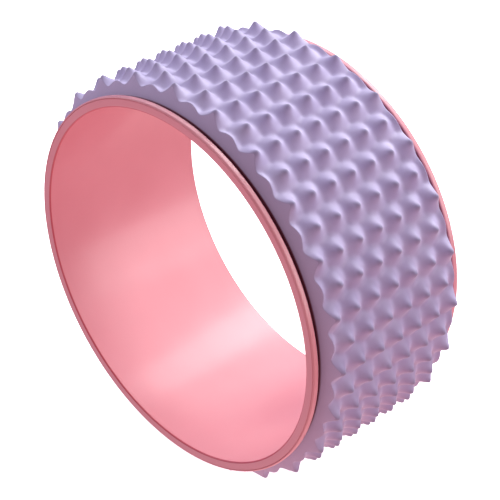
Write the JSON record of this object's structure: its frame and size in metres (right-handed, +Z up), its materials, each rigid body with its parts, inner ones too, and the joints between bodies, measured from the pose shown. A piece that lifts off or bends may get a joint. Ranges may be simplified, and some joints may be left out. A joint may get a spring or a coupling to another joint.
{
  "type": "back roller wheel",
  "caption": "Wide yoga wheel for rolling the back: a glossy pink ring, open through its middle, with a raised rim at each end and a lavender foam pad of pointed massage spikes between the rims.",
  "frame": {"origin": "on the floor, under the middle of the wheel, which stands on the tips of its spikes", "axes": "+Y along the wheel's axis, away from the rim face that the picture shows; +Z up; +X across the wheel"},
  "size_m": [0.3272, 0.15, 0.3273],
  "materials": {
    "pink_plastic": "glossy",
    "clear_adhesive": "tacky film",
    "lavender_foam": "matt closed-cell foam"
  },
  "bodies": {
    "root": {"core_ring": "pink_plastic", "adhesive_film": "clear_adhesive", "spike_pad": "lavender_foam"}
  },
  "joints": []
}
